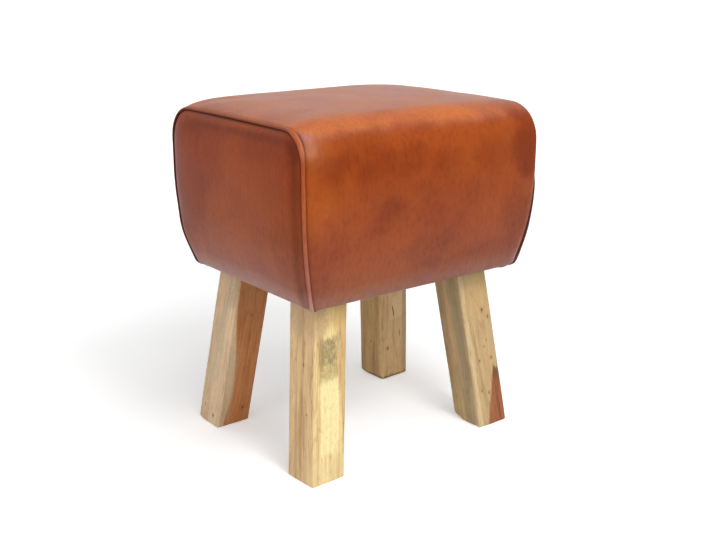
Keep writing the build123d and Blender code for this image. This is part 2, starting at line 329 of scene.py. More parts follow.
# how far out along the seat, and how far in, a point of the wrap lies beside the right seam
def rolledEdge(fromSeam, z):
    roll = seat["edgeRoll"]
    length = roll["radius"] * roll["turn"]
    start = roll["out"] - roll["radius"] + seamOut(1, z) - seamOut(1, seat["top"])
    if fromSeam > length:
        return (start + length) * bell(fromSeam - length, roll["fade"]), 0
    turn = (length - fromSeam) / roll["radius"] * (1 - 0.5 * lowness(z))
    return start + roll["radius"] * math.sin(turn) + fromSeam, roll["radius"] * (1 - math.cos(turn))


def wrapPoint(column, step):
    u = wrapU[column]
    y, z, outY, outZ = sections[column][step]
    reach = reachAt(z)
    fromSeam = (1 - abs(u)) * reach
    begins, ends = wrap["pinchBand"]
    turned = easeIn(outZ, *begins) * (1 - easeIn(outZ, *ends))
    fold = pinch(fromSeam, z + abs(y), u) * (0.35 + turned) + wrap["sway"] * ripple((u * reach, y, z), 0.05, 3)
    dive = seat["tuck"] * bell(fromSeam / seat["tuckWidth"], 1 - seat["topTight"] * topness(outZ))
    if u > 0:
        out, dive = rolledEdge(fromSeam, z)
    else:
        out = -seamOut(-1, z, y) * bell(fromSeam, seat["edgeRoll"]["fade"])
    return Vector((u * reach + out, y, z)) + Vector((0, outY, outZ)) * (fold - dive)


def wrapPlace(column, row):
    first = wrap["hemRows"]
    last = first + lastStep
    place = wrapPoint(column, clamp(row - first, 0, lastStep))
    turnedUnder = max(first - row, row - last, 0) / first * seat["hem"]
    place.y -= math.copysign(turnedUnder, place.y)
    return place


# how near each point lies to the seam, for painted shade: dark in the groove beside the seam, plus the softer
# band of painted shade that shade gives (how dark, how far out, how wide)
def paintSeamShade(piece, gapOf, crease, shade, shareOf=lambda point: 1):
    seam = piece.data.attributes.new("seam", "FLOAT", "POINT")
    strength, middle, width = shade
    for point in piece.data.vertices:
        gap = gapOf(point)
        near = math.exp(-((gap / crease) ** 4))
        near += strength * shareOf(point) * bell(gap - middle, width)
        seam.data[point.index].value = min(near, 1)


# the leather's stiffness, and how near its seam and its foot it is held
padding = {
    "push": 2.5,
    "frames": 16,
    "most": 0.0016,
    "stretch": 30,
    "bend": 4,
    "heldSeam": 0.006,
    "heldFoot": 0.008,
}


# lets the padding push the leather out between its held edges, as cloth, and keeps that move small
def settlePadding(piece, isHeld):
    start = [point.co.copy() for point in piece.data.vertices]
    held = piece.vertex_groups.new(name="held")
    held.add([point.index for point in piece.data.vertices if isHeld(point.co)], 1, "REPLACE")
    pickOnly(piece)
    modifier = piece.modifiers.new("padding", "CLOTH")
    cloth = modifier.settings
    cloth.vertex_group_mass = "held"
    cloth.use_pressure = True
    cloth.uniform_pressure_force = padding["push"]
    cloth.effector_weights.gravity = 0
    cloth.tension_stiffness = cloth.compression_stiffness = padding["stretch"]
    cloth.bending_stiffness = padding["bend"]
    modifier.collision_settings.use_collision = False
    modifier.collision_settings.use_self_collision = False
    modifier.point_cache.frame_start = 1
    modifier.point_cache.frame_end = padding["frames"]
    for step in range(1, padding["frames"] + 1):
        sceneRoot.frame_set(step)
    bpy.ops.object.modifier_apply(modifier=modifier.name)
    for point, before in zip(piece.data.vertices, start):
        moved = point.co - before
        point.co = before + moved * (padding["most"] / (padding["most"] + moved.length))
    piece.vertex_groups.clear()
    sceneRoot.frame_set(1)


def finishLeather(piece, toSeam):
    foot = seat["floor"] + padding["heldFoot"]
    settlePadding(piece, lambda co: toSeam(co) < padding["heldSeam"] or co.z < foot)
    applyModifier(piece, "SUBSURF", levels=1, render_levels=1)
    applyModifier(piece, "SOLIDIFY", thickness=seat["leather"], offset=-1, use_even_offset=True)
    smoothFaces(piece)
    return piece


def makeWrap():
    rows = lastStep + 1 + 2 * wrap["hemRows"]
    piece = laidGrid("leatherWrap", len(wrapU), rows, wrapPlace)
    facesOutwards(piece)

    def gapOf(point):
        u = wrapU[point.index % len(wrapU)]
        step = clamp(point.index // len(wrapU) - wrap["hemRows"], 0, lastStep)
        fromSeam = (1 - abs(u)) * reachAt(point.co.z)
        y, outZ = outlines[-1][step][0], outlines[-1][step][3]
        onTop = easeIn(outZ, 0.86, 1.0) if y < 0 else topness(outZ)
        return fromSeam * (2 if u > 0 else (1 + 2.0 * onTop) * (1 - 0.45 * frontCorner(y, outZ)))

    paintSeamShade(piece, gapOf, wrap["crease"], wrap["shade"])
    glint = piece.data.attributes.new("glint", "FLOAT", "POINT")
    middle, width = wrap["glint"]
    for point in piece.data.vertices:
        if wrapU[point.index % len(wrapU)] > 0:
            low = easeIn(-point.co.z, *wrap["glintLow"])
            glint.data[point.index].value = low * bell(gapOf(point) / 2 - middle, width)
    return finishLeather(piece, lambda co: reachAt(co.z) - abs(co.x))


leatherWrap = makeWrap()
print("wrap laid", len(leatherWrap.data.vertices))


# end panels

endPanel = {
    "steps": (0, 0.011, 0.022, 0.034, 0.048, 0.066, 0.09, 0.12, 0.16, 0.21),
    "middle": 22,
    "hemRows": 3,
    "crease": 0.0031,
    "creaseWide": (0.25, 0.4, (0.05, 0.12)),  # how much wider on top and behind, and where behind starts
    "shade": (0.48, 0.0115, 0.007),
    "shadeFaint": (0.85, 0.7, (0.04, 0.11)),  # how much fainter on top and behind, and where behind starts
    "sideShare": 0.315,  # of the outline's length
    "navel": 0.52,  # the share of the height at which the panel's rows and columns meet
    "swellReach": 0.016,
    "swellEven": 0.55,
}
endA = graded(endPanel["steps"], endPanel["middle"])


def outlineAt(share, outline):
    lengths = [0]
    for first, second in zip(outline, outline[1:]):
        lengths.append(lengths[-1] + math.dist(first[:2], second[:2]))
    goal = share * lengths[-1]
    for i in range(lastStep):
        if goal <= lengths[i + 1] or i == lastStep - 1:
            t = (goal - lengths[i]) / (lengths[i + 1] - lengths[i])
            return [a + (b - a) * t for a, b in zip(outline[i], outline[i + 1])]


# a place on the end panel's rim: the square's left, upper and right sides run along the seam
def rimPoint(a, b, end):
    sideShare = endPanel["sideShare"]
    if -b > abs(a):
        return -a / b * (outlines[end][-1][0] - seamIn(end, seat["floor"])), seat["floor"]
    if abs(a) >= abs(b):
        share = sideShare * (b + 1) / 2
        share = share if a < 0 else 1 - share
    else:
        share = sideShare + (1 - 2 * sideShare) * (a + 1) / 2
    y, z, outY, outZ = outlineAt(share, outlines[end])
    shift = seamIn(end, z)
    return y - outY * shift, max(z - outZ * shift, seat["floor"])


def endPoint(a, b, end):
    middle = seat["floor"] + endPanel["navel"] * (seat["seamTop"] - seat["floor"])
    ring = max(abs(a), abs(b), 1e-6)
    y, z = rimPoint(a / ring, b / ring, end)
    y *= ring
    z = middle + (z - middle) * ring
    toSeam = seamDistance(y, z, end)
    toEdge = min(toSeam, z - seat["floor"] + 0.004)
    height = (z - seat["floor"]) / (seat["seamTop"] - seat["floor"])
    swell = seat["endCrown"] * (1 - math.exp(-toEdge / endPanel["swellReach"]))
    swell *= 1 - abs(2 * height - 1) ** seat["endPower"] * endPanel["swellEven"]
    dive = seat["tuck"] * bell(toSeam / seat["tuckWidth"], 1 - seat["topTight"] * cornerTop(y, z, end))
    out = seamOut(end, z, y) * bell(toSeam, seat["edgeRoll"]["fade"])
    return Vector((end * (reachAt(z) + swell - dive + out), y, z))


def seamDistance(y, z, end):
    inside = seat["halfDepth"] - leanAt(z, seat["sideLean"]) - abs(y)
    middleY, middleZ, radius = cornerOf(y, end)
    if z > middleZ:
        inside = radius - math.hypot(max(abs(y) - middleY, 0), z - middleZ)
    return max(inside - seamIn(end, z), 0)


def makeEnd(name, end):
    count = len(endA)
    hemRows = endPanel["hemRows"]

    def place(column, row):
        a = endA[column]
        if row < hemRows:
            inward = (hemRows - row) / hemRows
            spot = endPoint(a, -1, end)
            spot.x -= end * inward * seat["hem"]
            spot.y *= 1 - inward * seat["hem"] / seat["footHalfDepth"]
            return spot
        return endPoint(a, endA[row - hemRows], end)

    piece = laidGrid(name, count, count + hemRows, place)
    facesOutwards(piece)

    def gapOf(point):
        y, z = point.co.yz
        onTop, behind, band = endPanel["creaseWide"]
        tight = cornerTop(y, z, end)
        return seamDistance(y, z, end) * (1 - onTop * tight - behind * easeIn(y, *band) * (1 - tight))

    def shadeOf(point):
        y, z = point.co.yz
        onTop, behind, band = endPanel["shadeFaint"]
        return 1 - onTop * max(cornerTop(y, z, end), behind * easeIn(y, *band))

    paintSeamShade(piece, gapOf, endPanel["crease"], endPanel["shade"], shadeOf)
    return finishLeather(piece, lambda co: seamDistance(co.y, co.z, end))


endPanels = {
    "end_panel_left": makeEnd("leatherEndLeft", -1),
    "end_panel_right": makeEnd("leatherEndRight", 1),
}
print("end panels laid")


# piping bead round each end seam, its ends tucked under the seat, and the cord inside it

bead = {
    "radius": 0.0025,
    "cordRadius": 0.0017,
    "around": 14,
    "sideways": 0.0001,  # out of the seam's line along the seat
    "sunkOnTop": 0.0004,
    "sunkBehind": 0.0012,
    "thinOnTop": 0.3,
    # by how far up it faces, elsewhere and at the left seam's front: where it counts as on top, and darkens
    "onTop": ((0.8, 1.0), (0.86, 1.0)),
    "fading": ((0.7, 0.95), (0.86, 0.995)),
    # low down the right bead is thicker and stands out: how far, and minus the heights where that starts
    "lowOut": 0.0031,
    "lowBand": (-0.35, -0.262),
    "thickLow": 0.25,
    "cornerBulge": (0.42, 0.0005),  # thicker and prouder at the left seam's front corner
    "unevenness": 0.0002,
    "dark": (0.25, 0.85),  # on top, and down the back
    "tucks": ((0.00084, 0.0006), (0.0042, 0.001), (0.007, 0.0002)),  # inward and down from the seam's foot
}


# the seam's line, the way the bead faces along it, how much darker it is painted there and how thick it stands
def beadLine(end):
    line = []
    for y, z, outY, outZ in outlines[end]:
        x = reachAt(z) + seamOut(end, z, y)
        level = -seamIn(end, z)
        nearFront = end < 0 and y < 0
        onTop = easeIn(outZ, *bead["onTop"][nearFront])
        corner = frontCorner(y, outZ) * (end < 0)
        if end > 0:
            x += bead["lowOut"] * easeIn(-z, *bead["lowBand"])
        else:
            level -= bead["sunkOnTop"] * onTop + bead["sunkBehind"] * easeIn(y, 0, 0.1) * (1 - onTop)
            level += bead["cornerBulge"][1] * corner
        spot = Vector((end * (x + bead["sideways"]), y + outY * level, max(z + outZ * level, seat["floor"])))
        fading = easeIn(outZ, *bead["fading"][nearFront])
        # darker on top and down the back of the left seam; the right bead, seen only in the gap at the seat's
        # edge, is painted fully dark as shade
        dark = max(bead["dark"][0] * fading, bead["dark"][1] * easeIn(y, -0.02, 0.08) * (1 - onTop), end > 0)
        thick = 1 - bead["thinOnTop"] * onTop + bead["cornerBulge"][0] * corner
        thick += bead["thickLow"] * lowness(z) * (end > 0)
        line.append((spot, Vector((end, outY, outZ)).normalized(), dark, thick))
    for inward, down in bead["tucks"]:
        for first in (True, False):
            foot, facing, dark, thick = line[0] if first else line[-1]
            floor = seat["floor"]
            y = math.copysign(abs(outlines[end][0][0]) - seamIn(end, floor) - inward, foot.y)
            x = reachAt(floor) + seamOut(end, floor, foot.y) - inward
            spot = Vector((end * x, y, floor - down))
            tuck = (spot, (facing + Vector((0, 0, -0.6))).normalized(), dark, thick)
            line.insert(0 if first else len(line), tuck)
    return line


def makeTube(name, line, radius, unevenness, seed):
    around = bead["around"]

    def place(column, row):
        spot, outward = line[row][:2]
        along = (line[min(row + 1, len(line) - 1)][0] - line[max(row - 1, 0)][0]).normalized()
        outward = (outward - along * outward.dot(along)).normalized()
        turn = 2 * math.pi * column / around
        size = (radius + unevenness * ripple(spot, 0.012, seed)) * line[row][3]
        return spot + (outward * math.cos(turn) + along.cross(outward) * math.sin(turn)) * size

    piece = laidGrid(name, around + 1, len(line), place)
    seam = piece.data.attributes.new("seam", "FLOAT", "POINT")
    # painted shade: the side of the bead that turns in towards the groove is darker, as is each place its line
    # marks dark
    for index in range(len(piece.data.vertices)):
        turn = 2 * math.pi * (index % (around + 1)) / around
        seam.data[index].value = max(easeIn(-math.cos(turn), -0.6, 0.2), line[index // (around + 1)][2])
    closeEnds(piece)
    applyModifier(piece, "SUBSURF", levels=1, render_levels=1)
    smoothFaces(piece)
    return piece


beads = {}
cords = {}
for side, end in (("left", -1), ("right", 1)):
    line = beadLine(end)
    title = side.title()
    beads["piping_cover_" + side] = makeTube("bead" + title, line, bead["radius"], bead["unevenness"], end)
    cords["piping_cord_" + side] = makeTube("beadCord" + title, line[3:-3], bead["cordRadius"], 0, end)
print("beads laid")


# legs: a square bar with eased arrises, leaned to its place, its foot worn round, each a little different

legShape = {
    "width": 0.05,
    "depth": 0.05,
    "top": boardLow[2],
    "arris": 0.0016,
    "sideSteps": 9,
    "arrisSteps": 3,
    "footSteps": 4,
    "wave": 0.0004,
    "levels": (
        0.006, 0.01, 0.015, 0.021, 0.03, 0.042, 0.056, 0.072, 0.09, 0.11, 0.13, 0.15, 0.17, 0.19, 0.205, 0.216,
    ),
}
legSides = {
    "front_left": {"side": (-1, -1), "turn": 2.6, "shift": (0, 0), "footRound": 0.0014, "worn": 0.6},
    "front_right": {"side": (1, -1), "turn": 0.4, "shift": (-0.002, 0.001), "footRound": 0.0018, "worn": 3.2},
    "back_left": {"side": (-1, 1), "turn": 0.6, "shift": (-0.0022, 0.0008), "footRound": 0.0016, "worn": 1.0},
    "back_right": {"side": (1, 1), "turn": 3.6, "shift": (0, 0), "footRound": 0.0026, "worn": 0.8},
}


def legMiddle(node):
    low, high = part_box(node)
    sideX, sideY = legSides[node[4:]]["side"]
    foot = Vector((0, 0))
    top = foot.copy()
    for axis, side, width in ((0, sideX, legShape["width"]), (1, sideY, legShape["depth"])):
        inner, outer = low[axis] + width / 2, high[axis] - width / 2
        foot[axis], top[axis] = (outer, inner) if side > 0 else (inner, outer)
    return foot, top


# once round the leg's section, from the middle of its arris at the near left
def legRim():
    halfX, halfY, ease = legShape["width"] / 2, legShape["depth"] / 2, legShape["arris"]
    points = []
    for corner in range(4):
        signX, signY = ((-1, -1), (1, -1), (1, 1), (-1, 1))[corner]
        centre = Vector((signX * (halfX - ease), signY * (halfY - ease)))
        for step in range(legShape["arrisSteps"] + 1):
            turn = math.radians(180 + 90 * corner + 90 * step / legShape["arrisSteps"])
            points.append(centre + Vector((math.cos(turn), math.sin(turn))) * ease)
    rim = []
    for index, point in enumerate(points):
        rim.append(point)
        if index % (legShape["arrisSteps"] + 1) == legShape["arrisSteps"]:
            after = points[(index + 1) % len(points)]
            rim += [point.lerp(after, i / legShape["sideSteps"]) for i in range(1, legShape["sideSteps"])]
    return rim + rim[:1]


rim = legRim()


def makeLeg(node, seed):
    shape = legSides[node[4:]]
    foot, top = legMiddle(node)
    turn = math.radians(shape["turn"])
    steps = legShape["footSteps"]
    levels = [*legShape["levels"], legShape["top"]]

    # where a point stands in the leg's own measure
    def localPlace(column, row):
        spot = rim[column]
        far = (abs(spot.x) + abs(spot.y)) / legShape["width"]
        roundness = shape["footRound"] * (1 + shape["worn"] * easeIn(spot.y - spot.x, 0.03, 0.048))
        roundness *= 1 + 0.35 * ripple((spot.x, spot.y, 0), 0.02, seed) + 0.3 * easeIn(far, 0.75, 1)
        if row > steps:
            return Vector((spot.x, spot.y, max(levels[row - steps - 1], roundness + 0.0004)))
        lift = math.pi / 2 * row / steps
        inset = roundness * (1 - math.sin(lift))
        shrink = (1 - inset / (legShape["width"] / 2), 1 - inset / (legShape["depth"] / 2))
        return Vector((spot.x * shrink[0], spot.y * shrink[1], roundness * (1 - math.cos(lift))))

    def place(column, row):
        local = localPlace(column, row)
        high = local.z / legShape["top"]
        middle = foot.lerp(top, high) + Vector(shape["shift"]) * (1 - 0.5 * high)
        wave = [ripple((local.x, local.y, local.z * 0.22), 0.018, seed + i) for i in (0, 9)]
        x = local.x + legShape["wave"] * wave[0]
        y = local.y + legShape["wave"] * wave[1]
        turned = Vector((x * math.cos(turn) - y * math.sin(turn), x * math.sin(turn) + y * math.cos(turn)))
        return Vector((middle.x + turned.x, middle.y + turned.y, local.z))

    rows = steps + 1 + len(levels)
    piece = laidGrid("leg" + node[4:].title().replace("_", ""), len(rim), rows, place)
    grain = piece.data.attributes.new("grain", "FLOAT_VECTOR", "POINT")
    for index in range(len(piece.data.vertices)):
        grain.data[index].vector = localPlace(index % len(rim), index // len(rim))
    closeEnds(piece)
    smoothFaces(piece, 35)
    return piece


legs = {}
for seed, name in enumerate(legSides):
    legs["leg_" + name] = makeLeg("leg_" + name, seed * 3.1 + 1)
print("legs made")


# black cloth under the seat, pulled tight between its staples

cloth = {"thickness": 0.0008, "legGap": 0.001, "sag": 0.0007, "cell": 0.0055}


def clothLines(low, high, cuts):
    lines = [low]
    for cut in sorted(cuts) + [high]:
        steps = max(1, round((cut - lines[-1]) / cloth["cell"]))
        start = lines[-1]
        lines += [start + (cut - start) * (i + 1) / steps for i in range(steps)]
    return lines


def makeCloth():
    low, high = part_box("dust_cover")
    gap = cloth["legGap"]
    holes = []
    for node in legs:
        foot, top = legMiddle(node)
        middle = foot.lerp(top, low[2] / legShape["top"])
        halfX = legShape["width"] / 2 + gap
        halfY = legShape["depth"] / 2 + gap
        holes.append((middle.x - halfX, middle.x + halfX, middle.y - halfY, middle.y + halfY))
    columns = clothLines(low[0], high[0], {round(x, 5) for hole in holes for x in hole[:2]})
    rows = clothLines(low[1], high[1], {round(y, 5) for hole in holes for y in hole[2:]})

    def place(column, row):
        x, y = columns[column], rows[row]
        inside = min(high[0] - abs(x), high[1] - abs(y))
        sag = cloth["sag"] * easeIn(inside, 0.004, 0.03) * (1 + 0.8 * ripple((x, y, 0), 0.05, 4))
        return Vector((x, y, high[2] - cloth["thickness"] - sag))

    piece = laidGrid("dustCloth", len(columns), len(rows), place)
    pickOnly(piece)
    bpy.ops.object.mode_set(mode="EDIT")
    bpy.ops.mesh.select_all(action="DESELECT")
    bpy.ops.object.mode_set(mode="OBJECT")
    for face in piece.data.polygons:
        x, y = face.center.x, face.center.y
        face.select = any(a < x < b and c < y < d for a, b, c, d in holes)
    bpy.ops.object.mode_set(mode="EDIT")
    bpy.ops.mesh.delete(type="FACE")
    bpy.ops.object.mode_set(mode="OBJECT")
    applyModifier(piece, "SOLIDIFY", thickness=cloth["thickness"], offset=1)
    smoothFaces(piece, 50)
    return piece


dustCloth = makeCloth()
print("dust cloth made")


# padding under the leather, a little smaller than the space it fills

padShape = {"cell": 0.004, "smooth": 0.5, "rounds": 3, "smaller": 0.0026}
pads = {}
for node in ("seat_foam", "front_foam", "back_foam", "end_foam_left", "end_foam_right"):
    source = frame["nodes"][node]
    pad = source.copy()
    pad.data = source.data.copy()
    sceneRoot.collection.objects.link(pad)
    where, side = node.split("_foam")
    pad.name = pad.data.name = where + "Pad" + side.strip("_").title()
    mergePoints(pad)
    applyModifier(pad, "REMESH", mode="VOXEL", voxel_size=padShape["cell"])
    applyModifier(pad, "SMOOTH", factor=padShape["smooth"], iterations=padShape["rounds"])
    applyModifier(pad, "DISPLACE", strength=-padShape["smaller"], mid_level=0)
    smoothFaces(pad)
    pads[node] = pad
print("pads made")


# materials

# holds the material or world whose nodes are being laid
bench = {}


def startNodes(owner):
    owner.use_nodes = True
    owner.node_tree.nodes.clear()
    bench["owner"] = owner


def addNode(kind, inputs=None, **settings):
    tree = bench["owner"].node_tree
    node = tree.nodes.new("ShaderNode" + kind)
    for key, value in settings.items():
        setattr(node, key, value)
    for key, value in (inputs or {}).items():
        if isinstance(value, bpy.types.NodeSocket):
            tree.links.new(value, node.inputs[key])
        else:
            node.inputs[key].default_value = value
    return node


def finishMaterial(colour, roughness, height=None, depth=0.0002, strength=0.5, **sockets):
    inputs = {"Base Color": colour, "Roughness": roughness, **sockets}
    if height is not None:
        bump = addNode("Bump", {"Height": height, "Distance": depth, "Strength": strength})
        inputs["Normal"] = bump.outputs[0]
    shader = addNode("BsdfPrincipled", inputs)
    addNode("OutputMaterial", {"Surface": shader.outputs[0]})
    return bench["owner"]


def objectPlace():
    return addNode("TexCoord").outputs["Object"]


def stretched(place, scale, shift=(0, 0, 0)):
    inputs = {"Vector": place, "Scale": scale, "Location": shift}
    return addNode("Mapping", inputs).outputs[0]


def noiseOf(place, scale, detail=4, roughness=0.55, distortion=0):
    inputs = {"Vector": place, "Scale": scale, "Detail": detail}
    inputs.update({"Roughness": roughness, "Distortion": distortion})
    return addNode("TexNoise", inputs).outputs[0]


def reckon(operation, first, second=0.0, third=0.0, useClamp=False):
    inputs = {0: first, 1: second, 2: third}
    return addNode("Math", inputs, operation=operation, use_clamp=useClamp).outputs[0]


def between(value, low, high, toLow=0.0, toHigh=1.0):
    inputs = {0: value, 1: low, 2: high, 3: toLow, 4: toHigh}
    return addNode("MapRange", inputs, interpolation_type="SMOOTHSTEP").outputs[0]


def rampOf(value, stops):
    node = addNode("ValToRGB", {0: value})
    ramp = node.color_ramp
    while len(ramp.elements) < len(stops):
        ramp.elements.new(0.5)
    for element, (place, colour) in zip(ramp.elements, stops):
        element.position = place
        element.color = (*colour, 1)
    return node.outputs[0]


def mixed(share, first, second, blend="MIX"):
    inputs = {0: share, 6: first, 7: second}
    for key in (6, 7):
        if isinstance(inputs[key], tuple):
            inputs[key] = (*inputs[key][:3], 1)
    return addNode("Mix", inputs, data_type="RGBA", blend_type=blend).outputs[2]


# the colour, multiplied by the tone where the value lies past low towards high
def tinted(colour, value, low, high, share, tone):
    return mixed(between(value, low, high, 0.0, share), colour, tone, "MULTIPLY")


# the value, made uneven by a noise
def uneven(value, pattern, amount):
    return reckon("MULTIPLY_ADD", reckon("SUBTRACT", pattern, 0.5), amount, value)


def splitPlace(place):
    return addNode("SeparateXYZ", {0: place}).outputs


def attributeOf(name):
    return addNode("Attribute", attribute_name=name).outputs


def vectorOf(operation, first, second=(0, 0, 0)):
    return addNode("VectorMath", {0: first, 1: second}, operation=operation).outputs


def offsetFrom(place, middle, spread):
    return vectorOf("DIVIDE", vectorOf("SUBTRACT", place, middle)[0], spread)[0]


def lengthOf(vector):
    return vectorOf("LENGTH", vector)["Value"]


def longestOf(vector):
    x, y, z = splitPlace(vectorOf("ABSOLUTE", vector)[0])
    return reckon("MAXIMUM", reckon("MAXIMUM", x, y), z)


hide = {
    # tones from the foot of the seat up to its top, for the wrap and for the end panels: (share of the height,
    # colour);
    # the lighter, greyer tones low down are partly the leather's own and partly a painted reflection of the
    # floor, and the end panels' own tones, darker above and lighter below, are partly painted light and shade
    "wrap": [
        (0.0, (0.31, 0.145, 0.105)), (0.13, (0.29, 0.082, 0.04)), (0.36, (0.3, 0.067, 0.023)),
        (0.66, (0.31, 0.06, 0.01)), (0.9, (0.315, 0.06, 0.01)), (1.0, (0.36, 0.12, 0.062)),
    ],
    "end": [
        (0.0, (0.45, 0.26, 0.22)), (0.13, (0.345, 0.112, 0.068)), (0.4, (0.31, 0.07, 0.024)),
        (0.7, (0.3, 0.055, 0.014)), (1.0, (0.29, 0.05, 0.012)),
    ],
    "foot": 0.242,  # where the tones begin, and over what height they run
    "height": 0.223,
    # the long upper edges are painted brighter, a painted highlight where they turn up towards the lamps: how
    # far out to the side, and from what height
    "rim": (0.46, 0.125, 0.038),
    "highlightOut": (0.095, 0.135),
    "highlightUp": (0.446, 0.458),
    # soft darker and lighter places: (middle, half size, tone, share); some are painted light and shade, as
    # noted beside them
    "clouds": {
        "wrap": [
            ((-0.06, -0.15, 0.392), (0.12, 0.06, 0.02), (0.8, 0.62, 0.45), 0.6),
            ((0.007, -0.15, 0.276), (0.05, 0.06, 0.022), (0.8, 0.8, 0.92), 0.5),
            ((-0.07, -0.15, 0.33), (0.035, 0.06, 0.02), (0.82, 0.78, 0.86), 0.5),
            ((-0.168, -0.15, 0.355), (0.022, 0.06, 0.05), (1.15, 1.22, 1.05), 0.7),
            # painted shade where the front rolls round towards the right end
            ((0.178, -0.13, 0.395), (0.04, 0.08, 0.06), (0.68, 0.52, 0.44), 0.7),
            # these two tone down the painted edge highlight towards the right end, and turn it pinker
            ((0.11, -0.1, 0.45), (0.06, 0.05, 0.03), (0.84, 0.95, 1.2), 0.7),
            ((0.115, -0.145, 0.437), (0.06, 0.03, 0.014), (0.88, 0.82, 1.1), 0.7),
            ((0.155, -0.15, 0.3), (0.03, 0.06, 0.05), (0.76, 0.76, 0.9), 0.6),
            ((0.088, -0.15, 0.385), (0.018, 0.06, 0.022), (0.84, 0.7, 0.6), 0.5),
            ((-0.045, -0.15, 0.321), (0.032, 0.06, 0.03), (0.84, 0.8, 0.92), 0.5),
            ((-0.148, -0.15, 0.335), (0.018, 0.06, 0.035), (1.12, 1.18, 1.2), 0.6),
            # painted highlight: these three nested clouds make a bright spot on the left front corner, beside
            # the seam
            ((-0.168, -0.15, 0.418), (0.03, 0.03, 0.028), (1.08, 1.25, 1.5), 0.8),
            ((-0.171, -0.15, 0.42), (0.019, 0.03, 0.019), (1.14, 1.42, 2.1), 0.85),
            ((-0.174, -0.15, 0.421), (0.011, 0.03, 0.012), (1.22, 1.65, 3.0), 0.85),
        ],
        "end": [
            ((0, -0.075, 0.412), (1, 0.05, 0.024), (0.78, 0.66, 0.75), 0.6),
            ((0, -0.015, 0.335), (1, 0.05, 0.08), (1.18, 1.24, 1.14), 0.7),
            ((0, 0.105, 0.35), (1, 0.05, 0.09), (0.88, 0.7, 0.52), 0.65),
            ((0, -0.105, 0.29), (1, 0.022, 0.06), (0.82, 0.78, 0.85), 0.5),
            # painted highlight: a lighter strip along the top of the end panels, just under the seam
            ((0, 0.01, 0.4345), (1, 0.115, 0.009), (1.22, 1.38, 1.5), 0.8),
        ],
        "bead": [
            ((0, -0.15, 0.34), (1, 0.02, 0.09), (1.12, 1.35, 1.7), 0.8),
            # painted highlight on the piping at the front upper corners
            ((0, -0.14, 0.428), (1, 0.025, 0.02), (1.35, 2.1, 3.0), 0.9),
            ((0, 0.01, 0.441), (1, 0.115, 0.012), (1.08, 1.55, 2.3), 0.8),
        ],
    },
    # the colour of the painted shade in the seam grooves and on the piping
    "fold": (0.13, 0.07, 0.07),
    "glint": (1.25, 1.95, 3.0),
    "deep": (0.62, 0.5, 0.6),
    "bright": (1.16, 1.24, 1.05),
    "lined": (0.66, 0.6, 0.7),
    "roughness": (0.33, 0.4),
    "gloss": 0.07,
}


def makeHide(name, cut, shade=1.0, places=None):
    startNodes(bpy.data.materials.new(name))
    place = objectPlace()
    broad = noiseOf(place, 7.5, 2, 0.5, 0.3)
    patch = noiseOf(place, 21, 3, 0.5, 0.3)
    fine = noiseOf(place, 70, 4, 0.6)
    streak = noiseOf(stretched(place, (330, 330, 14)), 1, 3, 0.55)
    axes = splitPlace(place)
    height = reckon("MULTIPLY_ADD", broad, 0.02, axes[2])
    height = reckon("MULTIPLY_ADD", patch, 0.016, height)
    level = reckon("DIVIDE", reckon("SUBTRACT", height, hide["foot"]), hide["height"])
    base = rampOf(level, hide[cut])
    # painted highlight along the long upper edges of the wrap
    if cut == "wrap":
        edge = between(reckon("ABSOLUTE", axes[1]), *hide["highlightOut"])
        edge = reckon("MULTIPLY", edge, between(height, *hide["highlightUp"]))
        base = mixed(edge, base, hide["rim"])
    mottle = reckon("MULTIPLY_ADD", broad, 0.5, reckon("MULTIPLY", patch, 0.4))
    mottle = reckon("MULTIPLY_ADD", fine, 0.1, mottle)
    colour = tinted(base, mottle, 0.56, 0.34, 0.42, hide["deep"])
    colour = tinted(colour, mottle, 0.46, 0.66, 0.7, hide["bright"])
    for middle, spread, tone, share in hide["clouds"][places or cut]:
        far = uneven(lengthOf(offsetFrom(place, middle, spread)), patch, 1.6)
        colour = tinted(colour, far, 1.3, 0.5, share, tone)
    grain = noiseOf(stretched(place, (240, 240, 110)), 1, 4, 0.65)
    colour = tinted(colour, grain, 0.46, 0.64, 0.35, hide["lined"])
    colour = tinted(colour, streak, 0.38, 0.62, 0.16, hide["lined"])
    colour = mixed(1.0, colour, (shade, shade, shade), "MULTIPLY")
    if cut == "wrap":
        glint = reckon("MULTIPLY", attributeOf("glint")["Fac"], 0.7)
        colour = mixed(glint, colour, hide["glint"], "MULTIPLY")
    # painted shade from the seam value: darker in the grooves beside the seams and on the piping's sides
    fold = attributeOf("seam")["Fac"]
    colour = mixed(reckon("MULTIPLY", fold, 0.9), colour, hide["fold"], "MULTIPLY")
    pebble = addNode("TexVoronoi", {"Vector": place, "Scale": 620.0}, feature="F1").outputs[0]
    crease = noiseOf(place, 330, 3, 0.6)
    bumps = reckon("MULTIPLY_ADD", pebble, -0.5, crease)
    roughness = between(patch, 0.3, 0.7, *hide["roughness"])
    roughness = reckon("MULTIPLY_ADD", fold, 0.2, roughness)
    return finishMaterial(colour, roughness, bumps, 0.00025, 0.35, **{"Specular IOR Level": hide["gloss"]})


# wood: grain runs along each leg, in the leg's own measure

